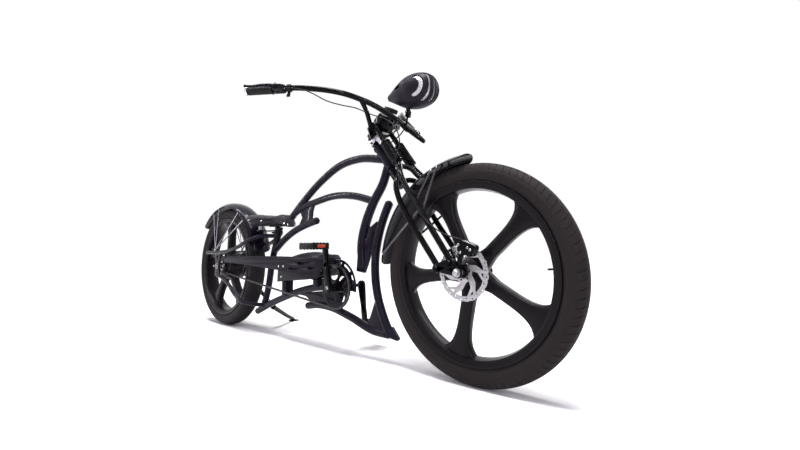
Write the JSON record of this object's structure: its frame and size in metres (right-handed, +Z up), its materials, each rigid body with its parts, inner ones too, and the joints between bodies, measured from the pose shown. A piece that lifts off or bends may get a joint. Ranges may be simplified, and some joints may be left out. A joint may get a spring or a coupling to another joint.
{
  "type": "bicycle",
  "caption": "Low electric cruiser bike with a springer fork, cast spoked wheels, arched twin-tube frame, swept bar, wide saddle, bullet lamp, chain drive, battery case and side stand.",
  "frame": {"origin": "on the ground, midway between the outermost points in X and Y of the whole bike", "axes": "+X to the front wheel, +Y to the rider's left, +Z up"},
  "size_m": [2.3884, 0.8754, 1.0993],
  "materials": {
    "frame_paint": "satin dark grey",
    "bright_steel": "bright",
    "case": "satin dark grey",
    "black_plastic": "satin",
    "dark_steel": "dark",
    "black_alloy": "anodised black",
    "saddle_skin": "matte",
    "fork_black": "gloss black",
    "chrome_clamp": "polished",
    "spring_black": "gloss black",
    "grip_rubber": "matte",
    "screen": "gloss black",
    "hose": "satin",
    "tyre_rubber": "matte",
    "wheel_black": "satin black",
    "lamp_shell": "satin black",
    "lamp_lens": "reflector behind clear lens"
  },
  "bodies": {
    "frame": {"head_tube": "frame_paint", "top_tube": "frame_paint", "middle_tube": "frame_paint", "rear_down_tube": "frame_paint", "front_down_tube": "frame_paint", "keel_tube": "frame_paint", "seat_tube": "frame_paint", "arch_tube": "frame_paint", "upper_stay_right": "frame_paint", "upper_stay_left": "frame_paint", "lower_stay_right": "frame_paint", "lower_stay_left": "frame_paint", "dropout_right": "frame_paint", "dropout_left": "frame_paint", "rear_axle": "bright_steel", "rear_fender": "frame_paint", "battery_case": "case", "chain_guard": "frame_paint", "guard_disc": "black_plastic", "chain": "dark_steel", "seat_post": "black_alloy", "saddle": "saddle_skin"},
    "steering": {"rigid_fork": "fork_black", "top_yoke": "fork_black", "steerer_clamp": "chrome_clamp", "fork_spring_right": "spring_black", "fork_spring_left": "spring_black", "handlebar": "fork_black", "grip_right": "grip_rubber", "grip_left": "grip_rubber", "controls_right": "black_alloy", "controls_left": "black_alloy", "light_bracket": "black_alloy", "display": "screen", "front_brake_hose": "hose", "rear_brake_hose": "hose", "wiring_loom": "hose"},
    "rockers": {"rocker_right": "fork_black", "rocker_left": "fork_black", "front_axle": "bright_steel", "front_caliper": "black_alloy"},
    "sprung_legs": {"spring_legs": "fork_black", "front_fender": "fork_black"},
    "front_wheel": {"front_tyre": "tyre_rubber", "front_wheel": "wheel_black", "front_rotor": "bright_steel"},
    "rear_wheel": {"rear_tyre": "tyre_rubber", "rear_wheel": "wheel_black", "rear_rotor": "bright_steel"},
    "cog": {"rear_cog": "bright_steel"},
    "crank": {"crankset": "black_alloy", "crank_arm_left": "black_alloy"},
    "right_pedal": {"pedal_right": "black_plastic"},
    "left_pedal": {"pedal_left": "black_plastic"},
    "right_brake_lever": {"brake_lever_right": "black_alloy"},
    "left_brake_lever": {"brake_lever_left": "black_alloy"},
    "throttle": {"throttle_lever": "black_plastic"},
    "lamp": {"headlight_shell": "lamp_shell", "headlight_lens": "lamp_lens"},
    "stand": {"kickstand": "fork_black"}
  },
  "joints": [
    {"name": "steering", "type": "hinge", "parent": "frame", "child": "steering", "pos_m": [0.44, 0, 0.7975], "axis": [-0.5937, 0, 0.8047], "range_deg": [-35, 35], "deforming": ["rear_brake_hose", "wiring_loom"]},
    {"name": "rocker_swing", "type": "hinge", "parent": "steering", "child": "rockers", "pos_m": [0.7568, 0, 0.369], "axis": [0, -1, 0], "range_deg": [0, 12], "stiffness_Nm_per_rad": 150, "springref_deg": -22.92, "deforming": ["fork_spring_right", "fork_spring_left", "front_brake_hose"]},
    {"name": "leg_swing", "type": "hinge", "parent": "rockers", "child": "sprung_legs", "pos_m": [0.8068, 0, 0.388], "axis": [0, -1, 0], "range_deg": [-14, 1]},
    {"name": "front_wheel_spin", "type": "hinge", "parent": "rockers", "child": "front_wheel", "pos_m": [0.8372, 0, 0.357], "axis": [0, 1, 0], "continuous": true},
    {"name": "rear_wheel_spin", "type": "hinge", "parent": "frame", "child": "rear_wheel", "pos_m": [-0.8498, 0, 0.3444], "axis": [0, 1, 0], "continuous": true},
    {"name": "cog_spin", "type": "hinge", "parent": "frame", "child": "cog", "pos_m": [-0.8498, 0, 0.3444], "axis": [0, 1, 0], "continuous": true},
    {"name": "crank_spin", "type": "hinge", "parent": "frame", "child": "crank", "pos_m": [0.205, 0, 0.277], "axis": [0, 1, 0], "continuous": true},
    {"name": "right_pedal_spin", "type": "hinge", "parent": "crank", "child": "right_pedal", "pos_m": [0.18106, -0.15, 0.44733], "axis": [0, 1, 0], "continuous": true},
    {"name": "left_pedal_spin", "type": "hinge", "parent": "crank", "child": "left_pedal", "pos_m": [0.22894, 0.15, 0.10667], "axis": [0, 1, 0], "continuous": true},
    {"name": "right_brake_squeeze", "type": "hinge", "parent": "steering", "child": "right_brake_lever", "pos_m": [0.19688, -0.35831, 1.06353], "axis": [0, 0, 1], "range_deg": [0, 11], "stiffness_Nm_per_rad": 2, "springref_deg": -11.46},
    {"name": "left_brake_squeeze", "type": "hinge", "parent": "steering", "child": "left_brake_lever", "pos_m": [0.19688, 0.35831, 1.06353], "axis": [0, 0, -1], "range_deg": [0, 11], "stiffness_Nm_per_rad": 2, "springref_deg": -11.46},
    {"name": "throttle_push", "type": "hinge", "parent": "steering", "child": "throttle", "pos_m": [0.2164, -0.3075, 1.06365], "axis": [-0.8261, -0.5632, 0.0188], "range_deg": [0, 40], "stiffness_Nm_per_rad": 0.15, "springref_deg": -17.19},
    {"name": "lamp_tilt", "type": "hinge", "parent": "steering", "child": "lamp", "pos_m": [0.566, 0, 0.962], "axis": [0, 1, 0], "range_deg": [-8, 15]},
    {"name": "stand_fold", "type": "hinge", "parent": "frame", "child": "stand", "pos_m": [-0.505, 0.087, 0.119], "axis": [0.1064, 0.514, 0.8512], "range_deg": [0, 57]}
  ],
  "couplings": [
    {"joint": "cog_spin", "follows": "crank_spin", "ratio": 2.75},
    {"joint": "leg_swing", "follows": "rocker_swing", "ratio": -0.9758}
  ]
}
